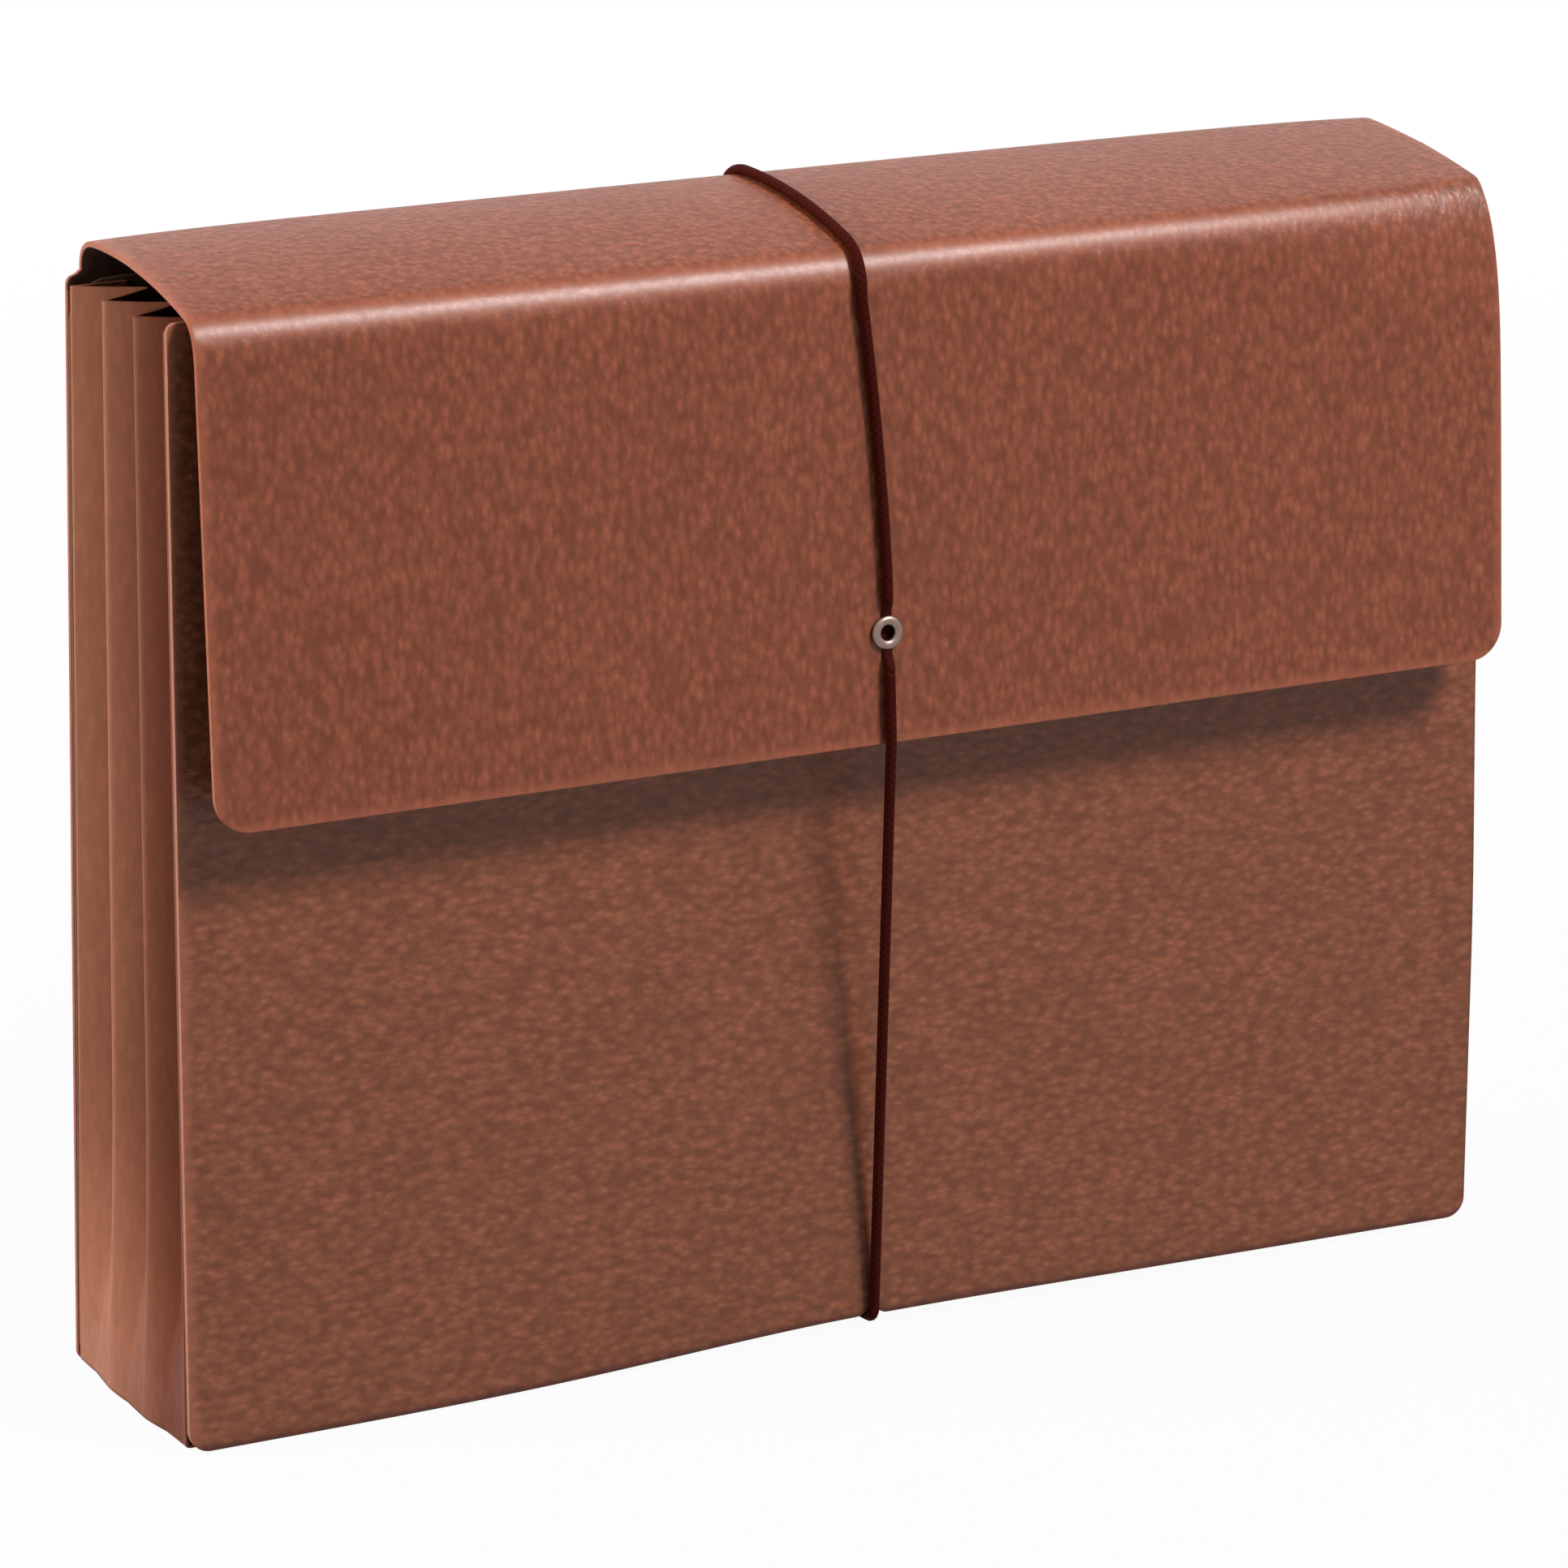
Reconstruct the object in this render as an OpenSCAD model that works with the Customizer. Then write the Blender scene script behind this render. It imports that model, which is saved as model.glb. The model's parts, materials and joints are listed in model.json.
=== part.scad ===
// Expanding file pocket. Two stiff panels are joined along the sides and the bottom by
// pleated gussets, a flap folds from the back panel over the mouth, and an elastic cord
// runs through an eyelet in the flap and right round the pocket.
// Millimetres. +X is the width, the front faces -Y, +Z is up. The origin is on the
// surface that the pocket stands on, under the middle of its outer box.

/* [Panels] */
// Width over the panels
pocket_w = 298.5; // [220:0.5:400]
// Height of the panels, up to the mouth
pocket_h = 228.5; // [180:0.5:320]
// Depth over both panels with the pleats open
pocket_d = 54; // [46:0.5:64]
// Thickness of the leather-like sheet of the panels and the flap
sheet_t = 1.2; // [0.8:0.1:2]
// Radius of the panels' lower corners
panel_corner_r = 4.5; // [1:0.5:12]
// Radius of the panels' upper corners
panel_top_r = 2; // [0.5:0.5:8]
// Thickness of the board that stiffens each panel
board_t = 0.8; // [0.5:0.1:1.5]
// Distance of a board from its panel's side and top edges
board_inset = 1; // [0.5:0.5:5]

/* [Gussets] */
// Thickness of the gusset strip
gusset_t = 0.8; // [0.4:0.1:1.2]
// Length of one pleat leaf from fold to fold
leaf_l = 14.5; // [12:0.5:20]
// Width of the glued tabs at the ends of a gusset
tab_w = 12; // [6:0.5:20]
// Distance from the panels' upper edge down to the gussets' upper edge
gusset_drop = 2; // [1:0.5:10]
// Gap left at a fold and between neighbouring gusset strips
fold_gap = 0.1; // [0.05:0.05:0.3]
// Slack in the middle inner fold, which the pleats take up as they close
middle_gap = 0.5; // [0.3:0.1:1]

/* [Flap] */
// Distance of the flap's side edges in from the panels' side edges
flap_inset = 3; // [2:0.5:20]
// Height of the back panel's neck, from the mouth up to the rear fold
neck_h = 4.5; // [4:0.5:15]
// Distance of the front fold's inner edge in front of the front panel
flap_standoff = 5.4; // [4:0.1:15]
// Distance of the front fold's inner edge below the mouth
front_fold_drop = 0.5; // [0:0.1:1]
// Rise of the domed top above the straight line between its folds
dome_rise = 3; // [2:0.5:8]
// Length of the flap's front leaf
flap_drop = 98; // [60:1:150]
// Outward lean of the flap's front leaf, in degrees
flap_lean = 3.3; // [1:0.1:8]
// Radius of the flap's lower corners
flap_corner_r = 7.5; // [2:0.5:25]

/* [Eyelet and cord] */
// Diameter of the elastic cord
cord_d = 2.2; // [1.5:0.1:3]
// Gap between the cord and what it lies on
cord_gap = 0.2; // [0.1:0.05:0.4]
// Middle radius of the cord's bends at the lower panel edges
cord_bend_r = 2.5; // [2:0.1:4]
// Height of the eyelet's centre above the flap's lower edge
eyelet_up = 22.8; // [12:0.1:40]
// Diameter of the eyelet's front flange
flange_d = 8.2; // [7.5:0.1:12]
// Thickness of the eyelet's front flange
flange_t = 0.6; // [0.5:0.05:1]
// Wall of the eyelet's barrel
barrel_wall = 0.45; // [0.3:0.05:0.6]
// Thickness of the washer behind the flap
washer_t = 0.5; // [0.3:0.05:1]
// Diameter of the washer
washer_d = 9.2; // [8:0.1:12]
// Thickness of the rolled rim that holds the washer
clinch_t = 0.4; // [0.3:0.05:0.6]
// Diameter of the cord's stopper knot
knot_d = 5.6; // [5:0.1:7]

/* [Hidden] */
$fn = 48;

SHEET_COLOR = [0.53, 0.31, 0.23];
BOARD_COLOR = [0.33, 0.18, 0.12];
GUSSET_COLOR = [0.58, 0.35, 0.27];
CORD_COLOR = [0.23, 0.09, 0.05];
METAL_COLOR = [0.74, 0.66, 0.62];

// Each gusset has three pleats of two leaves.
LEAVES = 6;
stack_t = sheet_t + board_t + gusset_t;
gusset_span = pocket_d - 2 * stack_t;
leaf_pitch = (gusset_span - middle_gap) / LEAVES;
// A leaf turns about its inner face at the outer fold and about its outer face at the
// inner fold, so a closing pleat stacks flat. fold_angle is its angle from +Y at rest.
leaf_reach = sqrt(leaf_l * leaf_l + gusset_t * gusset_t);
fold_angle = atan2(gusset_t, leaf_l) + acos(leaf_pitch / leaf_reach);

// The cord passes under the bottom gusset, through a notch in each panel's lower edge.
cord_r = cord_d / 2;
cord_low = cord_gap + cord_r;
bottom_z = cord_low + cord_r + cord_gap;
notch_w = cord_d + 4 * cord_gap;
notch_h = bottom_z + cord_gap;
gusset_top = pocket_h - gusset_drop;
flap_w = pocket_w - 2 * flap_inset;

// v is the distance forward from the back panel's outer face.
rear_fold = [0, pocket_h + neck_h];
front_fold = [pocket_d + flap_standoff, pocket_h - front_fold_drop];
front_reach = front_fold[0] + flap_drop * sin(flap_lean) + (sheet_t + cord_gap + cord_d) * cos(flap_lean);
back_reach = cord_gap + cord_d;
back_y = (front_reach - back_reach) / 2;
function y_at(v) = back_y - v;

// The domed top is an arc over the line between the two folds.
dome_line = front_fold - rear_fold;
dome_chord = norm(dome_line);
dome_r = (dome_chord * dome_chord / 4 + dome_rise * dome_rise) / (2 * dome_rise);
dome_up = [-dome_line[1], dome_line[0]] / dome_chord;
dome_center = (rear_fold + front_fold) / 2 - (dome_r - dome_rise) * dome_up;
dome_half = asin(dome_chord / 2 / dome_r);
dome_mid = atan2(dome_up[1], dome_up[0]);
function dome_point(r, turn) = dome_center + r * [cos(dome_mid + turn), sin(dome_mid + turn)];

// s runs down the flap's front leaf from the front fold, n outwards from its inner face.
function flap_point(s, n) = [front_fold[0] + s * sin(flap_lean) + n * cos(flap_lean),
    front_fold[1] - s * cos(flap_lean) + n * sin(flap_lean)];

// Both cord strands share the eyelet's hole and bend over its rounded rim.
rim_fit = 0.1;
strand_gap = 0.04;
rim_r = 0.35;
strand = cord_r + strand_gap / 2;
hole_r = strand + cord_r + rim_fit;
barrel_r = hole_r + barrel_wall;
barrel_fit = 0.05;
rim_bend_r = rim_r + rim_fit + cord_r;
rim_center_n = sheet_t + flange_t - rim_r;
eyelet_s = flap_drop - eyelet_up;
back_n = -washer_t - clinch_t;
face_n = sheet_t + cord_gap + cord_r;
flange_n = rim_center_n + rim_bend_r;
// Length of a cord end that is left free at a place where it bends.
cord_end = 0.3;
ramp_l = 4;

// Panels and boards
module corners(w, low, high, r_low, r_high) {
    for (side = [-1, 1]) {
        translate([side * (w / 2 - r_low), low + r_low]) circle(r_low);
        translate([side * (w / 2 - r_high), high - r_high]) circle(r_high);
    }
    translate([-w / 2, low + r_low]) square([w, high - low - r_low - r_high]);
    translate([-w / 2 + r_low, low]) square([w - 2 * r_low, r_low + 1]);
    translate([-w / 2 + r_high, high - r_high - 1]) square([w - 2 * r_high, r_high + 1]);
}

module upright(v, t) {
    translate([0, y_at(v), 0]) rotate([90, 0, 0]) linear_extrude(t) children();
}

module cord_notch() {
    translate([-notch_w / 2, -1]) square([notch_w, notch_h + 1]);
}

module back_panel() {
    color(SHEET_COLOR) upright(0, sheet_t) difference() {
        union() {
            corners(pocket_w, 0, pocket_h, panel_corner_r, panel_top_r);
            translate([-flap_w / 2, pocket_h - panel_top_r - 1])
                square([flap_w, neck_h + panel_top_r + 1]);
        }
        cord_notch();
    }
}

module front_panel() {
    color(SHEET_COLOR) upright(pocket_d - sheet_t, sheet_t) difference() {
        corners(pocket_w, 0, pocket_h, panel_corner_r, panel_top_r);
        cord_notch();
    }
}

module board(v) {
    color(BOARD_COLOR) upright(v, board_t)
        corners(pocket_w - 2 * board_inset, bottom_z, pocket_h - board_inset, panel_corner_r, panel_top_r);
}

module back_board() {
    board(sheet_t);
}

module front_board() {
    board(pocket_d - sheet_t - board_t);
}

// Gusset tabs, glued to the boards
module side_tab(side, v) {
    color(GUSSET_COLOR) upright(v, gusset_t)
        translate([side * (pocket_w - tab_w) / 2 - tab_w / 2, bottom_z + panel_corner_r])
            square([tab_w, gusset_top - bottom_z - panel_corner_r]);
}

module bottom_tab(v) {
    tab_l = pocket_w - 2 * tab_w - 2 * fold_gap;
    color(GUSSET_COLOR) upright(v, gusset_t) translate([-tab_l / 2, bottom_z]) square([tab_l, tab_w]);
}

// Gusset leaves. Leaf i starts at an outer fold and runs inwards, odd leaves forwards and
// even leaves backwards. A leaf lies along +Z with its outer fold at x = gusset_t, and its
// mitred ends leave room for the leaves round the corner at every angle of the fold.
module pleat_leaf(i, low, high, mitre_high) {
    odd = i % 2 == 1;
    slack = i > LEAVES / 2 ? middle_gap : 0;
    fold_v = stack_t + (odd ? i - 1 : i) * leaf_pitch + slack;
    ends = [fold_gap, leaf_l - fold_gap];
    miter = gusset_t + fold_gap;
    top = [for (s = ends) high - (mitre_high ? miter + s : 0)];
    color(GUSSET_COLOR) translate([gusset_t, -fold_v, 0])
        rotate([90, 0, odd ? fold_angle - 90 : 90 - fold_angle]) translate([0, 0, odd ? 0 : -gusset_t])
            linear_extrude(gusset_t)
                polygon([[ends[0], low + miter + ends[0]], [ends[1], low + miter + ends[1]],
                    [ends[1], top[1]], [ends[0], top[0]]]);
}

module side_leaf(i) {
    translate([-pocket_w / 2, back_y, 0]) pleat_leaf(i, bottom_z, gusset_top, false);
}

module bottom_leaf(i) {
    translate([0, back_y, bottom_z]) rotate([0, -90, 0])
        pleat_leaf(i, -pocket_w / 2, pocket_w / 2, true);
}

// Flap
module flap_top() {
    wedge_r = 1.2 * dome_r;
    color(SHEET_COLOR) translate([0, back_y, 0]) rotate([90, 0, 90]) linear_extrude(flap_w, center = true)
        mirror([1, 0]) intersection() {
            translate(dome_center) difference() {
                circle(dome_r + sheet_t, $fn = 360);
                circle(dome_r, $fn = 360);
            }
            polygon([dome_center, dome_point(wedge_r, dome_half), dome_point(wedge_r, -dome_half)]);
        }
}

// In this frame z is -s and y is -n.
module on_flap_front() {
    translate([0, y_at(front_fold[0]), front_fold[1]]) rotate([-flap_lean, 0, 0]) children();
}

module at_eyelet() {
    on_flap_front() translate([0, 0, -eyelet_s]) rotate([90, 0, 0]) children();
}

module flap_front() {
    color(SHEET_COLOR) on_flap_front() rotate([90, 0, 0]) linear_extrude(sheet_t) difference() {
        union() {
            translate([-flap_w / 2, flap_corner_r - flap_drop]) square([flap_w, flap_drop - flap_corner_r]);
            translate([flap_corner_r - flap_w / 2, -flap_drop]) square([flap_w - 2 * flap_corner_r, flap_drop]);
            for (side = [-1, 1])
                translate([side * (flap_w / 2 - flap_corner_r), flap_corner_r - flap_drop]) circle(flap_corner_r);
        }
        translate([0, -eyelet_s]) circle(barrel_r + barrel_fit);
    }
}

// Eyelet
module eyelet() {
    rim = [for (a = [180 : -30 : 90]) [hole_r + rim_r + rim_r * cos(a), rim_center_n + rim_r * sin(a)]];
    edge = [[flange_d / 2, sheet_t + flange_t / 3], [flange_d / 2, sheet_t]];
    barrel = [[barrel_r, sheet_t], [barrel_r, -washer_t]];
    clinch = [[barrel_r + 2 * clinch_t, -washer_t], [barrel_r + clinch_t, back_n], [hole_r, back_n]];
    color(METAL_COLOR) at_eyelet() rotate_extrude() polygon(concat(rim, edge, barrel, clinch));
}

module eyelet_washer() {
    color(METAL_COLOR) at_eyelet() translate([0, 0, -washer_t]) difference() {
        cylinder(h = washer_t, d = washer_d);
        translate([0, 0, -1]) cylinder(h = washer_t + 2, r = barrel_r + barrel_fit);
    }
}

// Elastic cord, swept along [v, z] points in the pocket's middle plane
SIDES = 8;
function unit(p) = p / norm(p);
function heading(route, i) = unit(route[min(i + 1, len(route) - 1)] - route[max(i - 1, 0)]);
function ring(p, h) = [for (k = [0 : SIDES - 1]) let (a = 360 * k / SIDES)
    [cord_r * sin(a), y_at(p[0]) - cord_r * cos(a) * h[1], p[1] - cord_r * cos(a) * h[0]]];
function arc(center, r, from, to, steps) =
    [for (i = [0 : steps]) let (a = from + (to - from) * i / steps) center + r * [cos(a), sin(a)]];

module cord(route) {
    rings = len(route);
    points = [for (i = [0 : rings - 1]) each ring(route[i], heading(route, i))];
    sides = [for (i = [0 : rings - 2], k = [0 : SIDES - 1])
        let (a = i * SIDES + k, b = i * SIDES + (k + 1) % SIDES)
        each [[a, a + SIDES, b + SIDES], [a, b + SIDES, b]]];
    first = [for (k = [0 : SIDES - 1]) k];
    last = [for (k = [SIDES - 1 : -1 : 0]) (rings - 1) * SIDES + k];
    color(CORD_COLOR) polyhedron(points, concat(sides, [first, last]));
}

BEND_STEPS = 6;
back_line_v = -cord_gap - cord_r;
front_line_v = pocket_d + cord_gap + cord_r;
bend_z = cord_low + cord_bend_r;
front_corner = flap_point(flap_drop, face_n);
front_foot = [front_line_v, bend_z];

module cord_back_run() {
    clear_of_fold = sheet_t + cord_gap + cord_d + cord_end;
    cord(concat([[back_line_v, rear_fold[1] - clear_of_fold]],
        arc([back_line_v + cord_bend_r, bend_z], cord_bend_r, 180, 270, BEND_STEPS)));
}

module cord_bottom_run() {
    cord(concat([[back_line_v + cord_bend_r + cord_end, cord_low]],
        arc([front_line_v - cord_bend_r, bend_z], cord_bend_r, 270, 360, BEND_STEPS)));
}

module cord_top_run() {
    run_r = dome_r + sheet_t + cord_gap + cord_r;
    inset = cord_end / run_r * 180 / PI;
    steps = 16;
    cord([for (i = [0 : steps]) dome_point(run_r, (dome_half - inset) * (1 - 2 * i / steps))]);
}

module cord_flap_run() {
    flange_s = eyelet_s - flange_d / 2;
    bend = [eyelet_s - strand - rim_bend_r, rim_center_n];
    route = concat([[cord_end, face_n], [flange_s - ramp_l, face_n], [flange_s, flange_n]],
        arc(bend, rim_bend_r, 90, 0, BEND_STEPS), [[eyelet_s - strand, back_n]]);
    cord([for (p = route) flap_point(p[0], p[1])]);
}

// The knot holds the lower strand's end, which comes out of the hole and turns down.
module cord_knot() {
    bend = [eyelet_s + strand + rim_bend_r, rim_center_n];
    route = concat([[eyelet_s + strand, back_n]], arc(bend, rim_bend_r, 180, 90, BEND_STEPS));
    cord([for (p = route) flap_point(p[0], p[1])]);
    color(CORD_COLOR) at_eyelet() translate([0, 0, back_n - knot_d / 2]) sphere(d = knot_d);
}

module cord_lower_run() {
    start_s = eyelet_s + strand + rim_bend_r + rim_fit;
    flange_s = max(eyelet_s + flange_d / 2, start_s + cord_end);
    route = [[start_s, flange_n], [flange_s, flange_n], [flange_s + ramp_l, face_n], [flap_drop - cord_end, face_n]];
    cord([for (p = route) flap_point(p[0], p[1])]);
}

module cord_front_run() {
    down = unit(front_foot - front_corner);
    cord([front_corner + cord_end * down, front_foot - cord_end * down]);
}

back_panel();
back_board();
front_panel();
front_board();
side_tab(-1, stack_t - gusset_t);  // gusset_left_back_tab
side_tab(1, stack_t - gusset_t);  // gusset_right_back_tab
bottom_tab(stack_t - gusset_t);  // gusset_bottom_back_tab
for (i = [1 : LEAVES]) {
    side_leaf(i);
    mirror([1, 0, 0]) side_leaf(i);
    bottom_leaf(i);
}
side_tab(-1, pocket_d - stack_t);  // gusset_left_front_tab
side_tab(1, pocket_d - stack_t);  // gusset_right_front_tab
bottom_tab(pocket_d - stack_t);  // gusset_bottom_front_tab
flap_top();
flap_front();
eyelet();
eyelet_washer();
cord_knot();
cord_back_run();
cord_bottom_run();
cord_top_run();
cord_flap_run();
cord_lower_run();
cord_front_run();
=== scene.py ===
import json
import math

import bpy
from mathutils import Matrix, Vector


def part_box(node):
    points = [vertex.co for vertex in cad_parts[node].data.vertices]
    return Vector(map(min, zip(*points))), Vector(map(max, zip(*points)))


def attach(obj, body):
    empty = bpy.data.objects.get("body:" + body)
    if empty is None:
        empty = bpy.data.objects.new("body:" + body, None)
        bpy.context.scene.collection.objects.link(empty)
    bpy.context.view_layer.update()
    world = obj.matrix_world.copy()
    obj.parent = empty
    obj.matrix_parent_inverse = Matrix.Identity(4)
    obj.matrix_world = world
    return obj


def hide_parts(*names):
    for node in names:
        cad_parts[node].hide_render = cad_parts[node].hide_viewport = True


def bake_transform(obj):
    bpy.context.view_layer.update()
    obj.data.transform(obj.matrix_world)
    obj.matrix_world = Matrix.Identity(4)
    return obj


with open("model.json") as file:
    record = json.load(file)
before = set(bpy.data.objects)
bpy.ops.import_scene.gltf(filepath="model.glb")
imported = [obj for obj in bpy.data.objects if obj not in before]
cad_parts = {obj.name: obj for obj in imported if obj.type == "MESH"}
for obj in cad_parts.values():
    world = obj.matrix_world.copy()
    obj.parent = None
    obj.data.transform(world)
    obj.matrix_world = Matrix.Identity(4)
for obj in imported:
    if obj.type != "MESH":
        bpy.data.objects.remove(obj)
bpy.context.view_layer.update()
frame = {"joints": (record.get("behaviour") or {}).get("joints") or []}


# The cover is one long piece of brown leather-like sheet. It is the back panel, and above the
# pocket's mouth it is cut a little narrower, folded forwards and carried on as the flap.
# It has a dark lining. This piece is the back panel, the rear fold and the rear half of the top.
MM = 0.001
back_low, back_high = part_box("back_panel")
front_low, front_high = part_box("front_panel")
hinges = {joint["name"]: joint for joint in frame["joints"]}
BACK_Y = back_high[1]
POCKET_DEPTH = BACK_Y - front_low[1]
SIDE_X = front_high[0]
MOUTH_Z = front_high[2]
SHEET = back_high[1] - back_low[1]
FLAP_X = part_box("flap_front")[1][0]
EDGE_ROUND = 0.45 * MM
LOWER_CORNER = 4.5 * MM
BACK_CORNER = 2 * MM
MOUTH_CORNER = 2 * MM
COVER_BROWN = (0.192, 0.041, 0.0115)
LINING_BROWN = (0.050, 0.021, 0.011)
# Marked places are darkened towards this tint: painted shade in the gussets and at the front panel's foot,
# and the front panel's right edge.
PAINTED_SHADE_TINT = (0.36, 0.215, 0.15)
RUB_AND_HIGHLIGHT_REACH = 2.5 * MM

# The soft pocket leans: its back stands out at the foot, and its mouth is tucked in.
BACK_FLARE = 6 * MM
MOUTH_TUCK = 3 * MM

# The cord draws the lower edges in and up, and in front the lift reaches further to the right.
FOOT_X = 4.5 * MM
PINCH = 1.5 * MM
PINCH_LIFT = 2.9 * MM
PINCH_REACH = 60 * MM
PINCH_RISE = 30 * MM
LIFT_SPREAD = 140 * MM
CORD_DENT = 1 * MM
DENT_HALF = 2.4 * MM
DENT_RISE = 9 * MM

# The right end of the mouth is drawn in, and so is the front panel's right edge below it.
END_DRAW = 1.6 * MM
END_RISE = 16 * MM
EDGE_DRAW = 1.4 * MM
EDGE_LOW = 60 * MM
EDGE_HIGH = 140 * MM

# The top is domed. It sags towards its right end, and bows up along the rear fold.
REAR_FOLD = Vector((MOUTH_TUCK, back_high[2] + 1 * MM))
FRONT_FOLD = Vector((BACK_Y - hinges["flap_unfold"]["pos_m"][1], hinges["flap_unfold"]["pos_m"][2]))
DOME_RISE = 3 * MM
TOP_SAG = 2 * MM
TOP_BOW = 1 * MM
REAR_BEND = 7 * MM


def stops(*plan):
    """Places along an edge, from a plan in millimetres: place, step, place, step, place."""
    places = [plan[0]]
    for step, end in zip(plan[1::2], plan[2::2]):
        start = places[-1]
        count = max(1, round(abs(end - start) / step))
        places += [start + (end - start) * k / count for k in range(1, count + 1)]
    return [place * MM for place in places]


def eased(t):
    """A share kept between 0 and 1, with a gentle start and end."""
    t = min(1, max(0, t))
    return t * t * (3 - 2 * t)


def to_right(x, half, power):
    """A share that grows from 0 at a sheet's left end to 1 at its right end."""
    return (0.5 + x / (2 * half)) ** power


def rounded(side, end, radius):
    """Distances in from the two edges of a square corner, moved to a corner of that radius."""
    a = max(0, 1 - side / radius)
    b = max(0, 1 - end / radius)
    return (side + radius * a * (1 - math.sqrt(1 - b * b / 2)),
            end + radius * b * (1 - math.sqrt(1 - a * a / 2)))


def stand(x, v, z, foot=0.0, corner=LOWER_CORNER):
    """A point of the pocket as it stands: deeper at its foot than at its mouth, and drawn in below
    by the cord. v is the distance forwards from the back panel's outer face."""
    side, up = rounded(SIDE_X - abs(x), z - foot, corner)
    x = math.copysign(SIDE_X - side, x)
    z = foot + up
    ahead = v / POCKET_DEPTH
    beside = x - FOOT_X * ahead
    spread = PINCH_REACH + LIFT_SPREAD * ahead if beside > 0 else PINCH_REACH
    draw = PINCH * math.exp(-(beside / PINCH_REACH) ** 2 - z / PINCH_RISE)
    lift = PINCH_LIFT * math.exp(-(beside / spread) ** 2 - z / PINCH_RISE)
    edge = EDGE_DRAW * eased((z - EDGE_LOW) / (EDGE_HIGH - EDGE_LOW))
    x -= (END_DRAW * math.exp((z - MOUTH_Z) / END_RISE) + edge) * ahead * to_right(x, SIDE_X, 12)
    lean = MOUTH_TUCK * z / MOUTH_Z - BACK_FLARE * (1 - z / MOUTH_Z)
    v += draw * (1 - 2 * ahead) + lean * (1 - ahead)
    return Vector((x, BACK_Y - v, z + lift))


def cord_dent(x, z, cord_x=0.0):
    """How far a panel's lower edge is pressed up where the cord passes under it."""
    return CORD_DENT * math.exp(-((x - cord_x) / DENT_HALF) ** 4) * max(0, 1 - z / DENT_RISE)


def sheet(name, columns, rows, place):
    """A grid of that many columns and rows, with each of its points put in place."""
    bpy.ops.object.select_all(action="DESELECT")
    bpy.ops.mesh.primitive_grid_add(x_subdivisions=columns - 1, y_subdivisions=rows - 1, size=1)
    piece = bpy.context.object
    piece.name = name
    piece.data.name = name
    for point in piece.data.vertices:
        column = round((point.co.x + 0.5) * (columns - 1))
        row = round((point.co.y + 0.5) * (rows - 1))
        point.co = place(column, row)
    return piece


def pick(*pieces):
    """Selects these pieces and nothing else. The first is the active one."""
    bpy.ops.object.select_all(action="DESELECT")
    for piece in pieces:
        piece.select_set(True)
    bpy.context.view_layer.objects.active = pieces[0]


def apply_all(piece):
    """Applies a piece's modifiers, in order."""
    pick(piece)
    for modifier in list(piece.modifiers):
        bpy.ops.object.modifier_apply(modifier=modifier.name)


def thicken(piece, thickness, offset=-1):
    """Gives a sheet its thickness, inwards from its outer face or to both sides. Its inner face takes
    its second material."""
    wall = piece.modifiers.new("wall", "SOLIDIFY")
    wall.material_offset = 1
    wall.thickness = thickness
    wall.offset = offset
    wall.use_even_offset = True
    apply_all(piece)


def mark(piece, name, numbers):
    """Keeps a number from 0 to 1 for each point of a piece, for its material to read."""
    layer = piece.data.attributes.new(name, "FLOAT", "POINT")
    layer.data.foreach_set("value", numbers)


def rub_and_highlight_near(piece, *edges):
    """Marks how rubbed a piece is, and along the flap's crease partly a painted highlight: most at the given
    edges, and not at all a little way from them.
    """
    mark(piece, "rub_and_highlight", [max(0, 1 - min(edge(point.co) for edge in edges) / RUB_AND_HIGHLIGHT_REACH)
                         for point in piece.data.vertices])


def smooth(limit=50):
    """Shades the selected piece smooth, but for edges that turn by more than the limit in degrees."""
    bpy.ops.object.shade_smooth_by_angle(angle=math.radians(limit))


def round_edges(piece, width, keep=lambda co: False):
    """Rounds the sharp edges of a thick sheet, except where it runs on into the next piece."""
    pick(piece)
    bpy.ops.object.mode_set(mode="EDIT")
    bpy.ops.mesh.select_mode(type="EDGE")
    bpy.ops.mesh.select_all(action="DESELECT")
    bpy.ops.mesh.edges_select_sharp(sharpness=math.radians(55))
    bpy.ops.object.mode_set(mode="OBJECT")
    points = piece.data.vertices
    for edge in piece.data.edges:
        if edge.select and all(keep(points[k].co) for k in edge.vertices):
            edge.select = False
    bpy.ops.object.mode_set(mode="EDIT")
    bpy.ops.mesh.bevel(offset=width, segments=3, affect="EDGES", clamp_overlap=True)
    bpy.ops.object.mode_set(mode="OBJECT")
    smooth()


def node(tree, kind, links=(), **values):
    """One shader node: values set its own settings, or its sockets by name, and links feed sockets."""
    made = tree.nodes.new("ShaderNode" + kind)
    for key, value in values.items():
        if hasattr(made, key):
            setattr(made, key, value)
        else:
            made.inputs[key.replace("_", " ")].default_value = value
    for socket, source in links:
        tree.links.new(source, made.inputs[socket])
    return made


def feed(tree, socket, source):
    """Gives a socket a plain value, or links it to another node's output."""
    if isinstance(source, bpy.types.NodeSocket):
        tree.links.new(source, socket)
    else:
        socket.default_value = source


def reckon(tree, operation, *terms):
    """One sum in a shader, with plain numbers or other nodes' outputs as its terms."""
    made = node(tree, "Math", operation=operation)
    for socket, term in zip(made.inputs, terms):
        feed(tree, socket, term)
    return made.outputs["Value"]


def ranged(tree, source, low, high, start, end):
    """A number brought from the range low to high into the range start to end."""
    made = node(tree, "MapRange", [("Value", source)])
    for name, value in zip(("From Min", "From Max", "To Min", "To Max"), (low, high, start, end)):
        made.inputs[name].default_value = value
    return made.outputs["Result"]


def mix(tree, share, first, second, way="MIX"):
    """Two colours mixed by a share, each a plain colour or another node's output."""
    made = node(tree, "Mix", [("Factor", share)], data_type="RGBA", blend_type=way)
    for socket, colour in zip(made.inputs[6:8], (first, second)):
        feed(tree, socket, (*colour, 1) if isinstance(colour, tuple) else colour)
    return made.outputs[2]


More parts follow.
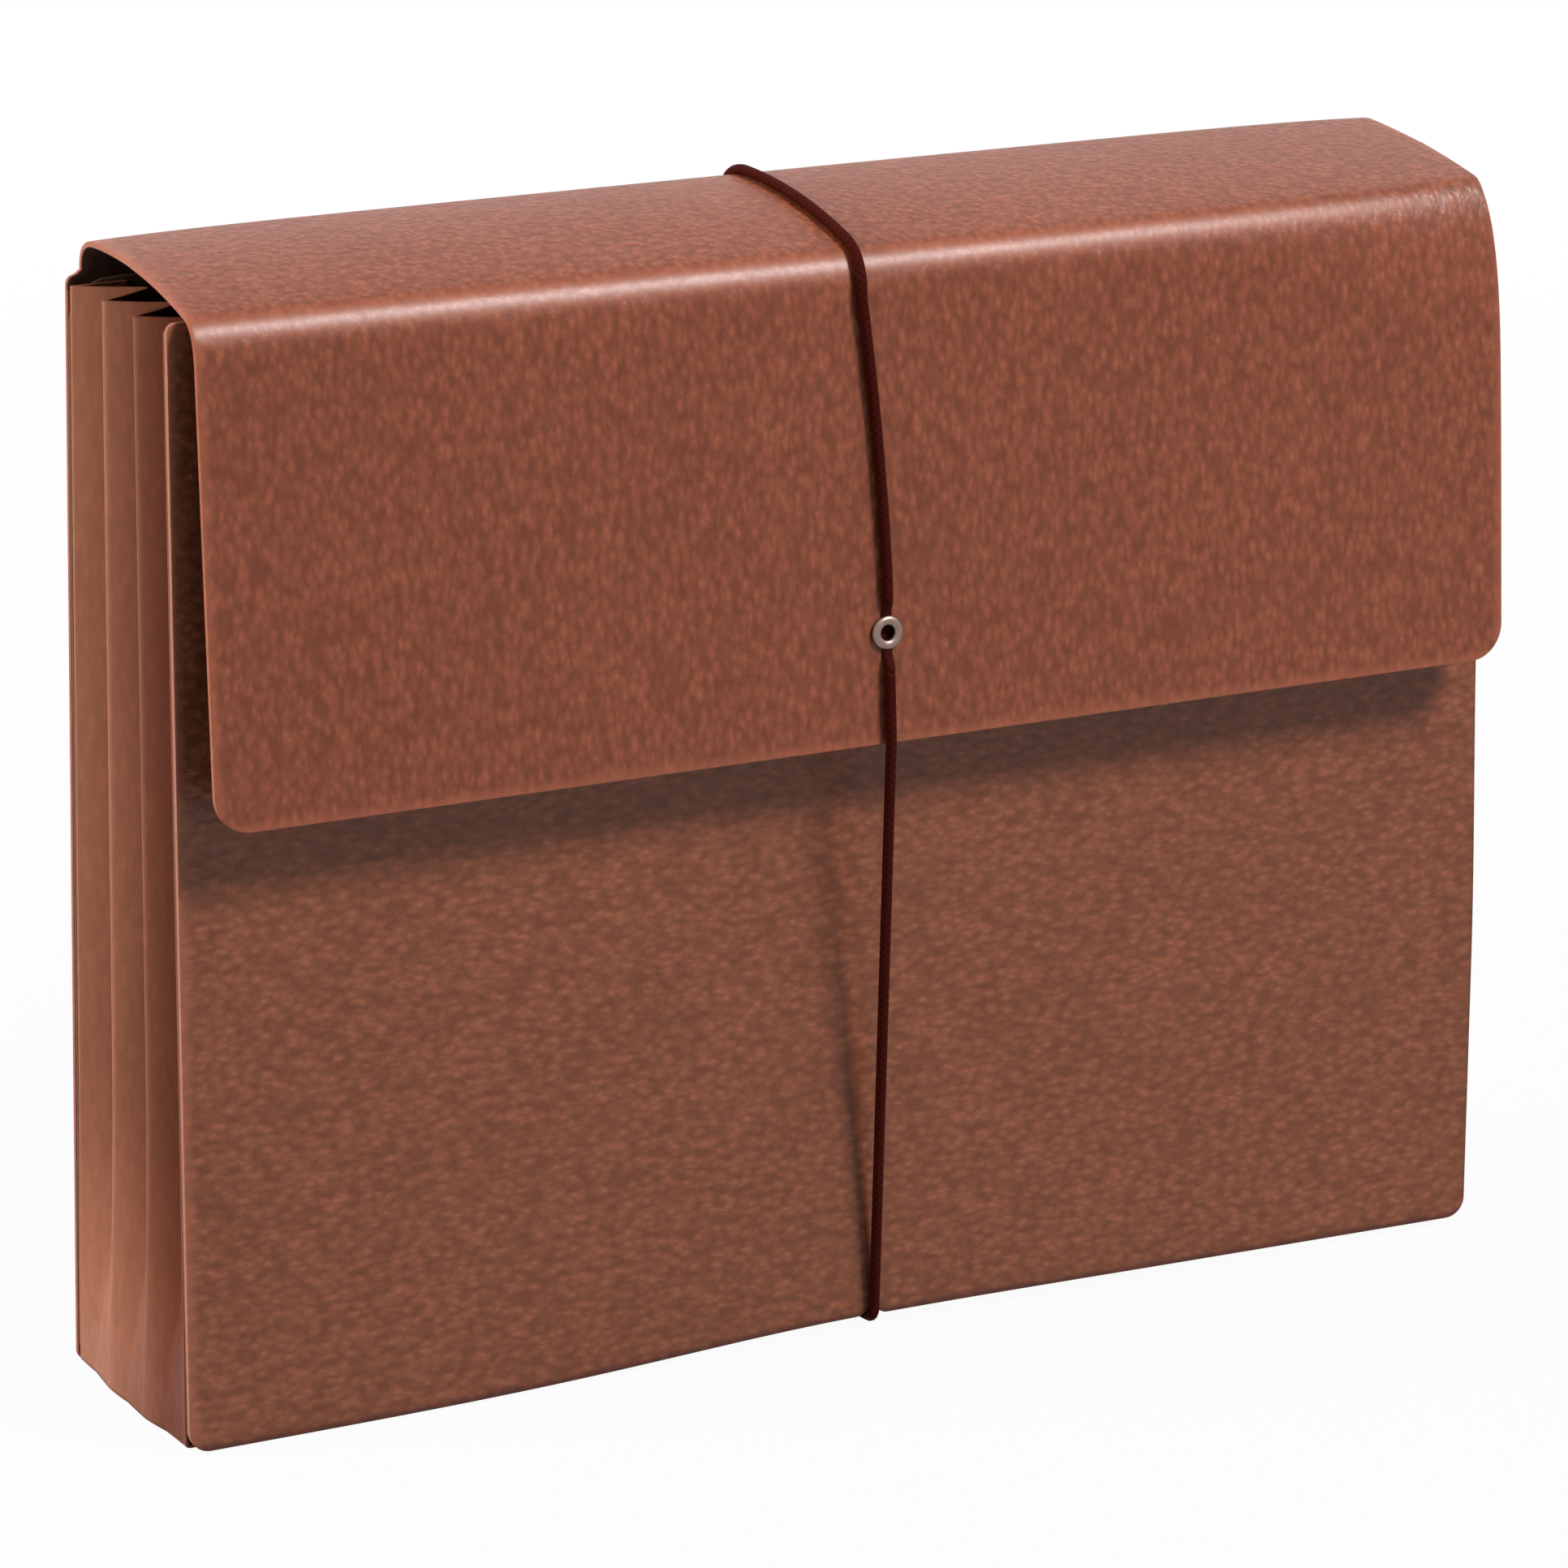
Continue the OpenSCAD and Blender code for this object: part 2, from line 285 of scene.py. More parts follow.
def material(name):
    """A new material, with its tree of nodes and its main shader."""
    made = bpy.data.materials.new(name)
    made.use_nodes = True
    return made, made.node_tree, made.node_tree.nodes["Principled BSDF"]


def leather(name, brown, stretch, contrast=1.0, gloss=0.4, shine=0.34):
    """Leather-like sheet: fine pressed grain in short dashes, paler where marked as rubbed and, on the flap's
    crease, partly as a painted highlight, and darker where painted shade is marked.
    """
    made, tree, skin = material(name)
    place = node(tree, "TexCoord").outputs["Object"]
    drawn = node(tree, "Mapping", [("Vector", place)], Scale=stretch).outputs["Vector"]
    broad = node(tree, "TexNoise", [("Vector", place)], Scale=25, Detail=3, Roughness=0.5)
    dash = node(tree, "TexNoise", [("Vector", drawn)], Scale=520, Detail=3, Roughness=0.6, Distortion=0.4)
    cells = node(tree, "TexVoronoi", [("Vector", drawn)], feature="SMOOTH_F1", Scale=620, Smoothness=0.5)
    fine = node(tree, "TexNoise", [("Vector", place)], Scale=3000, Detail=3, Roughness=0.6).outputs["Fac"]
    rub_and_highlight = node(tree, "Attribute", attribute_name="rub_and_highlight").outputs["Fac"]
    painted_shade = node(tree, "Attribute", attribute_name="painted_shade").outputs["Fac"]
    patch = ranged(tree, broad.outputs["Fac"], 0.3, 0.7, 0.96, 1.04)
    streak = ranged(tree, dash.outputs["Fac"], 0.3, 0.7, 1 - 0.13 * contrast, 1 + 0.13 * contrast)
    pebble = ranged(tree, cells.outputs["Distance"], 0.05, 0.7, 1 + 0.1 * contrast, 1 - 0.16 * contrast)
    pressed = reckon(tree, "MULTIPLY", streak, pebble)
    shade = ranged(tree, reckon(tree, "MULTIPLY", patch, pressed), 0.6, 1.4, 0, 1)
    dark = tuple(0.62 * c for c in brown)
    light = tuple(1.24 * c + 0.016 for c in brown)
    bare_and_highlit = tuple(1.5 * c + 0.03 for c in brown)
    # Where painted shade is marked, the grain's colour is darkened towards the shade tint.
    toned = mix(tree, painted_shade, mix(tree, shade, dark, light), PAINTED_SHADE_TINT, "MULTIPLY")
    # Where marked as rubbed, and along the flap's crease partly as a painted highlight, the colour turns
    # paler.
    worn_and_highlit = mix(tree, reckon(tree, "MULTIPLY", rub_and_highlight, fine), toned, bare_and_highlit)
    tree.links.new(worn_and_highlit, skin.inputs["Base Color"])
    dull = ranged(tree, dash.outputs["Fac"], 0, 1, gloss + 0.06, gloss - 0.06)
    tree.links.new(dull, skin.inputs["Roughness"])
    height = reckon(tree, "MULTIPLY_ADD", fine, 0.05, pressed)
    strength = ranged(tree, rub_and_highlight, 0, 0.7, 0.5, 0.1)
    bump = node(tree, "Bump", [("Height", height), ("Strength", strength)], Distance=0.0004)
    tree.links.new(bump.outputs["Normal"], skin.inputs["Normal"])
    skin.inputs["Specular IOR Level"].default_value = shine
    return made


def top_sag(x, v):
    """How much lower the flap's top lies towards its right end, less the bow along its rear fold."""
    t = min(1, max(0, (v - REAR_FOLD.x) / (FRONT_FOLD.x - REAR_FOLD.x)))
    bow = TOP_BOW * (1 - (x / SIDE_X) ** 8) * (1 - t)
    return TOP_SAG * to_right(x, SIDE_X, 3) * math.sin(math.pi * t) - bow


chord = FRONT_FOLD - REAR_FOLD
dome_r = (chord.length ** 2 / 4 + DOME_RISE ** 2) / (2 * DOME_RISE)
dome_up = Vector((-chord.y, chord.x)) / chord.length
dome_heart = (REAR_FOLD + FRONT_FOLD) / 2 - dome_up * (dome_r - DOME_RISE)
dome_top_r = dome_r + SHEET


def dome(turn, height=0.0):
    """A point of the flap's domed top, as distance forwards and height, at an angle from upright."""
    return dome_heart + (dome_top_r + height) * Vector((math.sin(turn), math.cos(turn)))


def turns(start, end, steps=8):
    """Even steps from one angle to another."""
    return [start + (end - start) * k / steps for k in range(steps + 1)]


def fold(start, corner, end, steps):
    """Points round a soft fold, after its start and up to its end."""
    places = []
    for k in range(1, steps + 1):
        t = k / steps
        places.append(start * (1 - t) ** 2 + corner * (2 * t * (1 - t)) + end * t ** 2)
    return places


rear_turn = math.asin((REAR_FOLD.x - dome_heart.x) / dome_top_r)
bend_turn = rear_turn + REAR_BEND / dome_top_r
mid_turn = math.asin((FRONT_FOLD.x / 2 - dome_heart.x) / dome_top_r)
rear_corner = dome(rear_turn)
mouth_mm = MOUTH_Z / MM
back_rows = [Vector((0, z)) for z in stops(0, 0.7, 7, 4, mouth_mm - 8, 0.6, mouth_mm)]
back_rows += [Vector((MOUTH_TUCK, MOUTH_Z + 0.6 * MM))]
back_rows += fold(back_rows[-1], rear_corner, dome(bend_turn), 12)
back_rows += [dome(turn) for turn in turns(bend_turn, mid_turn)[1:]]
side_mm = SIDE_X / MM
panel_columns = stops(-side_mm, 0.7, -side_mm + 7, 4, -9, 0.7, 9, 4, side_mm - 7, 0.7, side_mm)
seam_y = BACK_Y - dome(mid_turn).x


def back_place(column, row):
    x = -panel_columns[column]
    v, z = back_rows[row]
    if z >= MOUTH_Z - MOUTH_CORNER:
        drop = min(1, (z - MOUTH_Z + MOUTH_CORNER) / MOUTH_CORNER)
        half = SIDE_X - MOUTH_CORNER * (1 - math.sqrt(1 - drop * drop))
        x *= (half if z <= MOUTH_Z else FLAP_X) / SIDE_X
    if z > MOUTH_Z:
        return Vector((x, BACK_Y - v, z - top_sag(x, v)))
    return stand(x, v, z + cord_dent(x, z), corner=BACK_CORNER)


def at_seam(co):
    """True along the line on the flap's top where its two pieces meet."""
    return abs(co.y - seam_y) < 0.4 * MM and co.z > MOUTH_Z


cover = sheet("cover_back", len(panel_columns), len(back_rows), back_place)
rub_and_highlight_near(cover, lambda co: co.z if co.y > seam_y + 20 * MM else 1,
          lambda co: (SIDE_X if co.z < MOUTH_Z else FLAP_X) - abs(co.x))
cover_leather = leather("cover leather", COVER_BROWN, (1.0, 1.0, 0.55), 1.9)
lining = leather("dark lining", LINING_BROWN, (1.0, 1.0, 1.0), 0.8, 0.7, 0.15)
cover.data.materials.append(cover_leather)
cover.data.materials.append(lining)
thicken(cover, SHEET)
for face in cover.data.polygons:
    if face.center.z < MOUTH_Z - 3 * MM:
        face.material_index = 0
round_edges(cover, EDGE_ROUND, at_seam)
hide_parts("back_panel")
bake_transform(cover)


# The two panels are stiffened by dark brown board, glued to their inner faces and set in a little
# from the edges. Only their upper parts show, inside the mouth, when the flap is open.
BOARD_BROWN = (0.100, 0.050, 0.029)
BOARD_INSET = 0.2 * MM
BOARD_CORNER = 9 * MM
BOARD_ROUND = 0.25 * MM
board_x = SIDE_X - BOARD_INSET
board_mm = board_x / MM
board_columns = stops(-board_mm, 1, -board_mm + 6, 5, -9, 1, 9, 5, board_mm - 6, 1, board_mm)
board_paper = leather("board paper", BOARD_BROWN, (0.2, 1.0, 1.0), 0.6, 0.72)
for name, body in (("back_board", "back"), ("front_board", "front")):
    low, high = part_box(name)
    board_rows = stops(low[2] / MM, 1, low[2] / MM + 6, 5, high[2] / MM - 10, 1, high[2] / MM)

    def board_place(column, row):
        x = board_columns[column]
        side, down = rounded(board_x - abs(x), high[2] - board_rows[row], BOARD_CORNER)
        x = math.copysign(board_x - side, x)
        z = high[2] - down
        return stand(x, BACK_Y - low[1], z + cord_dent(x, z, FOOT_X if body == "front" else 0))

    board = sheet("lining_" + body, len(board_columns), len(board_rows), board_place)
    thicken(board, high[1] - low[1])
    round_edges(board, BOARD_ROUND)
    board.data.materials.append(board_paper)
    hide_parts(name)
    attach(board, body)


# The gussets are thinner strips of the same sheet, pleated three times down each side and along
# the bottom. Each strip's two end tabs are glued inside the panels, and the corners are mitred.
GUSSET = 0.8 * MM
GUSSET_BROWN = (0.258, 0.091, 0.047)
FOLD_ROUND = 1.5 * MM
TAB_ROUND = 0.6 * MM
STRIP_CORNER = 1.5 * MM
LEAF_BOW = 0.35 * MM
PLEAT_SHADE = 7 * MM
FOOT_GAP = 0.3 * MM
CORD_ROOM = 40 * MM

# Towards the pocket's lower corners the pleats open out, and the strips bulge.
CORNER_SHARE = 0.03
CORNER_REACH = 70 * MM
CORNER_BULGE = 1.5 * MM
BULGE_REACH = 25 * MM

strip_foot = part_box("gusset_bottom_leaf_1")[0][2]
strip_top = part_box("gusset_left_leaf_1")[1][2]
fold_v = {}
for n in range(1, 7):
    fold_v[n - 1 if n <= 3 else n] = BACK_Y - hinges[f"left_fold_{n}"]["pos_m"][1]
fold_v[3] = (fold_v[1] + fold_v[5]) / 2
outer_u = GUSSET / 2
inner_u = SIDE_X + hinges["left_fold_2"]["pos_m"][0] + GUSSET / 2
tab_u = SIDE_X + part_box("gusset_left_back_tab")[1][0]
corners = [Vector((fold_v[n], inner_u if n % 2 else outer_u)) for n in range(7)]
corners[0].x -= GUSSET / 2
corners[6].x += GUSSET / 2
corners = [Vector((corners[0].x, tab_u))] + corners + [Vector((corners[6].x, tab_u))]


def fold_radius(n):
    """How round the strip is at one corner of its section: not at its ends, and little at the tabs."""
    if n in (0, 8):
        return 0
    return TAB_ROUND if n in (1, 7) else FOLD_ROUND


def run(start, end, steps, bow):
    """Points along one leaf, a little bowed, from its start up to its end."""
    sideways = Vector((start.y - end.y, end.x - start.x)).normalized()
    return [start.lerp(end, k / steps) + sideways * bow * math.sin(math.pi * k / steps)
            for k in range(steps + 1)]


leaves = []
for k in range(8):
    towards = (corners[k + 1] - corners[k]).normalized()
    start = corners[k] + towards * fold_radius(k)
    end = corners[k + 1] - towards * fold_radius(k + 1)
    leaves.append(run(start, end, 8, LEAF_BOW * (-1) ** k if 0 < k < 7 else 0))
folds = [fold(leaves[k][-1], corners[k + 1], leaves[k + 1][0], 8) for k in range(7)]


def fold_section(number):
    """Points of the piece round one fold, from the middle of the leaf before to the leaf after. The
    end pieces take in the tabs, and the two next to the middle fold run on into it."""
    before = leaves[number]
    after = leaves[number + 1]
    first = before if number == 0 else before[4:]
    last = after[1:] if number == 6 else after[1:5]
    if number == 2:
        last = after[1:] + folds[3][:4]
    if number == 4:
        first = folds[3][3:-1] + before
    return first + folds[number] + last


def pleated(from_corner):
    """How much of its depth a pleat keeps: it opens out towards the pocket's lower corners."""
    return CORNER_SHARE + (1 - CORNER_SHARE) * eased(from_corner / CORNER_REACH)


def shallow(u, from_corner):
    """A depth inwards from the pocket's side, in a pleat that opens out towards the lower corners."""
    return outer_u + (u - outer_u) * pleated(from_corner)


def strip_painted_shade(v, inward, kept):
    """How much painted shade a strip takes: more towards the front, far into its pleats, and low by the front
    panel.
    """
    ahead = v / POCKET_DEPTH
    beside_panel = min(1, max(0, (ahead - 0.7) / 0.15))
    return 0.7 * eased((ahead - 0.2) / 0.55) + 0.25 * min(1, inward) * kept + 0.35 * beside_panel * (1 - kept)


gusset_leather = leather("gusset leather", GUSSET_BROWN, (1.0, 1.0, 0.4), 0.5, 0.55, 0.18)
end_shares = [0.97, 0.98, 0.988, 0.994, 1.0]
lengths = [-share for share in reversed(end_shares)] + [-0.95 + 1.9 * k / 70 for k in range(71)] + end_shares
heights = [0.0, 0.004, 0.008, 0.013, 0.02, 0.03, 0.045] + [k / 56 for k in range(4, 57)]
for side in ("left", "right", "bottom"):
    for number, before, after, nodes in ((0, "back", "leaf_1", ("back_tab",)),
                                         (1, "leaf_1", "leaf_2", ("leaf_1", "leaf_2")),
                                         (2, "leaf_2", "leaf_3", ("leaf_3",)),
                                         (4, "leaf_4", "leaf_5", ("leaf_4",)),
                                         (5, "leaf_5", "leaf_6", ("leaf_5", "leaf_6")),
                                         (6, "leaf_6", "front", ("front_tab",))):
        section = fold_section(number)
        rubbed = []
        painted_pleat_shade = []

        def strip_place(column, row):
            v, u = section[column]
            end = shallow(u, 0)
            if side == "bottom":
                from_corner = (1 - abs(lengths[row])) * (SIDE_X - end)
            else:
                from_corner = heights[row] * (strip_top - FOOT_GAP - end)
            inward = (u - outer_u) / PLEAT_SHADE
            rubbed.append(0.2 * max(0, 1 - inward * 2.3))
            # Each strip is darkened with painted shade, fully along the side strips' lowest row where they
            # meet the floor.
            at_foot = side != "bottom" and row == 0
            painted_pleat_shade.append(1 if at_foot else strip_painted_shade(v, inward, pleated(from_corner)))
            across = min(1, max(0, (v - fold_v[0]) / (fold_v[6] - fold_v[0])))
            bulge = CORNER_BULGE * math.sin(math.pi * across) * math.exp(-from_corner / BULGE_REACH)
            if side == "bottom":
                x = lengths[row] * (SIDE_X - end)
                foot = FOOT_GAP + (strip_foot - FOOT_GAP) * math.exp(-(x / CORD_ROOM) ** 2)
                place = stand(x, v, foot + shallow(u, from_corner), foot, STRIP_CORNER)
            else:
                x = (SIDE_X - shallow(u, from_corner)) * (-1 if side == "left" else 1)
                place = stand(x, v, FOOT_GAP + end + from_corner, FOOT_GAP, STRIP_CORNER)
            place.x += math.copysign(bulge, x)
            return place

        rows = len(lengths) if side == "bottom" else len(heights)
        pleat = sheet(f"gusset_{side}_fold_{number}", len(section), rows, strip_place)
        if side != "right":
            bpy.ops.object.mode_set(mode="EDIT")
            bpy.ops.mesh.select_all(action="SELECT")
            bpy.ops.mesh.flip_normals()
            bpy.ops.object.mode_set(mode="OBJECT")
        mark(pleat, "rub_and_highlight", rubbed)
        mark(pleat, "painted_shade", painted_pleat_shade)
        thicken(pleat, GUSSET, 0)
        smooth()
        pleat.data.materials.append(gusset_leather)
        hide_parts(*(f"gusset_{side}_{name}" for name in nodes))
        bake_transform(pleat)


# The front panel is cut from the same sheet as the cover, with rounded corners. Its edges are
# glued over the gussets' front tabs, and the cord draws the middle of its lower edge inwards.
PANEL_BROWN = (0.199, 0.053, 0.0188)
SOFT_CORNER = 8 * MM
# The panel's lowest rows are darkened with painted shade, as under its lower edge; its right edge is darkened
# with the same tint.
FOOT_PAINTED_SHADE = (1.0, 0.9, 0.3)
RIGHT_SHADE = 0.7
front_rows = stops(0, 0.7, 7, 4, mouth_mm - 6, 0.7, mouth_mm)
edge_shades = []


def front_place(column, row):
    x = panel_columns[column]
    z = front_rows[row]
    if row < len(FOOT_PAINTED_SHADE):
        edge_shades.append(FOOT_PAINTED_SHADE[row])
    else:
        edge_shades.append(RIGHT_SHADE if column == len(panel_columns) - 1 else 0)
    side, down = rounded(SIDE_X - abs(x), MOUTH_Z - z, MOUTH_CORNER if x < 0 else SOFT_CORNER)
    x = math.copysign(SIDE_X - side, x)
    z = MOUTH_Z - down
    z -= TOP_SAG * to_right(x, SIDE_X, 3) * (z / MOUTH_Z) ** 6
    return stand(x, POCKET_DEPTH, z + cord_dent(x, z, FOOT_X))


front_panel = sheet("front_cover", len(panel_columns), len(front_rows), front_place)
mark(front_panel, "painted_shade", edge_shades)
rub_and_highlight_near(front_panel, lambda co: MOUTH_Z - co.z, lambda co: SIDE_X + co.x)
thicken(front_panel, SHEET)
round_edges(front_panel, EDGE_ROUND)
panel_leather = leather("front panel leather", PANEL_BROWN, (0.6, 1.0, 1.0), 1.9)
front_panel.data.materials.append(panel_leather)
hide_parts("front_panel")
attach(front_panel, "front")


# The rest of the flap carries on from the cover: the front half of its top, the crease over the
# mouth, which is softer towards its right end, and the leaf that hangs in front. A hole is punched
# through the leaf for the eyelet.
FLAP_LEAN = math.radians(3.3)
FLAP_DROP = 98 * MM
FLAP_CORNER = 7.5 * MM
CREASE_TOP = 5.5 * MM
CREASE_LEAF = 8 * MM
CREASE_END = 34 * MM
# Along the crease the flap turns paler over a band this wide each side: partly rubbed, partly a painted
# highlight.
CREASE_RUB_AND_HIGHLIGHT = 2.6 * MM
DRAW_RUN = 26 * MM
EYELET_S = FLAP_DROP - 22.8 * MM
HOLE_R = 2.8 * MM
lean_down = Vector((math.sin(FLAP_LEAN), -math.cos(FLAP_LEAN)))
lean_out = Vector((math.cos(FLAP_LEAN), math.sin(FLAP_LEAN)))


def on_flap(s, n):
    """A point of the hanging leaf: s down from the crease, n out from the leaf's inner face."""
    return FRONT_FOLD + lean_down * s + lean_out * n


def at(x, place):
    """A point in the frame, from distance forwards and height."""
    return Vector((x, BACK_Y - place.x, place.y))


from_heart = on_flap(0, SHEET) - dome_heart
along = from_heart.dot(lean_down)
crease_s = -along - math.sqrt(along ** 2 + dome_top_r ** 2 - from_heart.length_squared)
crease_corner = on_flap(crease_s, SHEET)
crease_turn = math.asin((crease_corner.x - dome_heart.x) / dome_top_r)
crease_line = at(0, crease_corner)
flap_mm = FLAP_X / MM
flap_columns = stops(-flap_mm, 0.8, -flap_mm + 10, 4, -10, 1, 10, 4, flap_mm - 10, 0.8, flap_mm)


def flap_rows(x):
    """The flap in section at x, from the middle of its top to its lower edge."""
    softer = to_right(x, FLAP_X, 8)
    end_turn = crease_turn - CREASE_TOP * (1 + 0.5 * softer) / dome_top_r
    top = crease_s + CREASE_LEAF + (CREASE_END - CREASE_LEAF) * softer
    low = FLAP_DROP - FLAP_CORNER - 2 * MM
    places = [dome(turn) for turn in turns(mid_turn, end_turn)]
    places += fold(places[-1], crease_corner, on_flap(top, SHEET), 14)
    places += [on_flap(top + (low - top) * k / 22, SHEET) for k in range(1, 23)]
    places += [on_flap(low + (FLAP_DROP - low) * k / 14, SHEET) for k in range(1, 15)]
    return places


flap_sections = [flap_rows(x) for x in flap_columns]


def flap_place(column, row):
    x = -flap_columns[column]
    place = flap_sections[len(flap_columns) - 1 - column][row]
    place = place - Vector((0, top_sag(x, place.x)))
    s = (place - FRONT_FOLD).dot(lean_down)
    side, up = rounded(FLAP_X - abs(x), FLAP_DROP - s, FLAP_CORNER)
    if up > FLAP_DROP - s:
        place = place - lean_down * (up - FLAP_DROP + s)
    near = math.exp(-max(0, s) / END_RISE) * min(1, max(0, place.x - BACK_Y + seam_y) / DRAW_RUN)
    drawn = END_DRAW * to_right(x, FLAP_X, 12) * near
    return at(math.copysign(FLAP_X - side, x) - drawn, place)


flap = sheet("flap_cover", len(flap_columns), len(flap_sections[0]), flap_place)
lower_edge = at(0, on_flap(FLAP_DROP, SHEET))
# The flap is paler along its edges, where rubbed, and along its crease, partly rubbed and partly a painted
# highlight.
rub_and_highlight_near(flap, lambda co: co.z - lower_edge.z, lambda co: FLAP_X - abs(co.x),
          lambda co: 0.5 * MM + max(0, (co.yz - crease_line.yz).length - CREASE_RUB_AND_HIGHLIGHT))
flap.data.materials.append(cover_leather)
flap.data.materials.append(lining)
thicken(flap, SHEET)
round_edges(flap, EDGE_ROUND, at_seam)
bpy.ops.object.select_all(action="DESELECT")
bpy.ops.mesh.primitive_cylinder_add(vertices=48, radius=HOLE_R, depth=10 * SHEET,
                                    location=at(0, on_flap(EYELET_S, SHEET / 2)),
                                    rotation=(math.radians(90) - FLAP_LEAN, 0, 0))
punch = bpy.context.object
hole = flap.modifiers.new("hole", "BOOLEAN")
hole.operation = "DIFFERENCE"
hole.object = punch
apply_all(flap)
bpy.data.objects.remove(punch)
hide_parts("flap_top", "flap_front")
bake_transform(flap)


# The eyelet is a small ring of pale plated metal: a rolled flange on the flap's face and a barrel
# through the hole. A washer behind the flap is held on by the barrel's end, which is rolled over it.
EYELET_SILVER = (0.27, 0.185, 0.155)
FLANGE = {"radius": 2.5 * MM, "width": 1 * MM, "height": 0.75 * MM, "n": SHEET + 0.45 * MM}
BARREL = {"radius": 2.55 * MM, "wall": 0.45 * MM, "start": SHEET + 0.6 * MM, "end": -0.75 * MM}
CLINCH = {"radius": 2.95 * MM, "width": 0.55 * MM, "height": 0.42 * MM, "n": -0.62 * MM}
WASHER = {"radius": 3.75 * MM, "width": 0.9 * MM, "height": 0.28 * MM, "n": -0.28 * MM}
eyelet_axis = Vector((0, -lean_out.x, lean_out.y))
eyelet_turn = eyelet_axis.to_track_quat("Z", "Y").to_matrix().to_4x4()


def ring(name, radius, width, height, n):
    """A rolled ring round the eyelet's axis, at a distance n out from the flap's inner face."""
    bpy.ops.object.select_all(action="DESELECT")
    bpy.ops.mesh.primitive_torus_add(major_segments=72, minor_segments=20,
                                     major_radius=radius, minor_radius=width)
    made = bpy.context.object
    made.name = name
    made.data.transform(Matrix.Diagonal((1, 1, height / width, 1)))
    made.data.transform(Matrix.Translation(at(0, on_flap(EYELET_S, n))) @ eyelet_turn)
    bpy.ops.object.shade_smooth()
    return made


def barrel(radius, wall, start, end):
    """A short tube through the flap, open at both ends."""
    bpy.ops.object.select_all(action="DESELECT")
    bpy.ops.mesh.primitive_circle_add(vertices=72, radius=radius)
    made = bpy.context.object
    bpy.ops.object.mode_set(mode="EDIT")
    bpy.ops.mesh.extrude_region_move(TRANSFORM_OT_translate={"value": (0, 0, end - start)})
    bpy.ops.object.mode_set(mode="OBJECT")
    made.data.transform(Matrix.Translation(at(0, on_flap(EYELET_S, start))) @ eyelet_turn)
    thicken(made, wall, 0)
    return made


def joined(name, *parts):
    """Several meshes made into one piece."""
    pick(*parts)
    bpy.ops.object.join()
    parts[0].name = name
    smooth()
    return parts[0]


plated, tree, plate = material("plated metal")
plate.inputs["Metallic"].default_value = 1
place = node(tree, "TexCoord").outputs["Object"]
smudge = node(tree, "TexNoise", [("Vector", place)], Scale=700, Detail=4).outputs["Fac"]
scratch = node(tree, "TexNoise", [("Vector", place)], Scale=3200, Detail=2).outputs["Fac"]
tint = mix(tree, smudge, tuple(0.8 * c for c in EYELET_SILVER), EYELET_SILVER)
tree.links.new(tint, plate.inputs["Base Color"])
tree.links.new(ranged(tree, smudge, 0, 1, 0.28, 0.5), plate.inputs["Roughness"])
bump = node(tree, "Bump", [("Height", scratch)], Strength=0.2, Distance=0.00004)
tree.links.new(bump.outputs["Normal"], plate.inputs["Normal"])
eyelet = joined("eyelet_ring", ring("flange", **FLANGE), barrel(**BARREL), ring("clinch", **CLINCH))
washer = joined("eyelet_backing", ring("washer", **WASHER))
for piece, name in ((eyelet, "eyelet"), (washer, "eyelet_washer")):
    piece.data.materials.append(plated)
    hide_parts(name)
    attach(piece, "flap_front")


# The closure is one loop of dark braided elastic. It comes over the flap, goes in at the eyelet,
# is knotted behind it, comes out again, and runs down the front, under the pocket and up the back.
CORD_R = 1.1 * MM
CORD_SIDES = 14
CORD_STEP = 0.8 * MM
CORD_DARK = (0.016, 0.0015, 0.001)
CORD_LIGHT = (0.055, 0.0055, 0.0027)
CORD_GAP = 1.15 * MM
CORD_LOW = 1.3 * MM
TOP_X = -4.5 * MM
TURN_R = 2.5 * MM
FRONT_FOOT_Z = 4.8 * MM
CORNER_BEND = 3 * MM

# Along the leaf from the eyelet's middle: where a strand ends, where it is no longer pressed flat
# under the flange, where the lower strand bends when it lifts, and where the front run takes over.
STRAND_END = 2.9 * MM
CLAMP_START = 3.8 * MM
CLAMP_RUN = 3.5 * MM
CLAMP_SHARE = 0.7
LOWER_START = 8.1 * MM

# The stopper knot is a trefoil of thinner, tightly drawn cord, with the two ends passing into it.
KNOT_N = -2.75 * MM
KNOT_LOOP = 0.62 * MM
KNOT_WAVE = 0.95 * MM
KNOT_R = 0.95 * MM
ENDS_R = 1.5 * MM


def even(places, step=CORD_STEP):
    """The same route in even steps, so that the braid is even too."""
    out = [places[0].copy()]
    left = step
    for start, end in zip(places, places[1:]):
        length = (end - start).length
        while length > 1e-9 and left <= length:
            start = start.lerp(end, left / length)
            out.append(start.copy())
            length = (end - start).length
            left = step
        left -= length
    if (out[-1] - places[-1]).length > 0.2 * step:
        out.append(places[-1].copy())
    else:
        out[-1] = places[-1].copy()
    return out


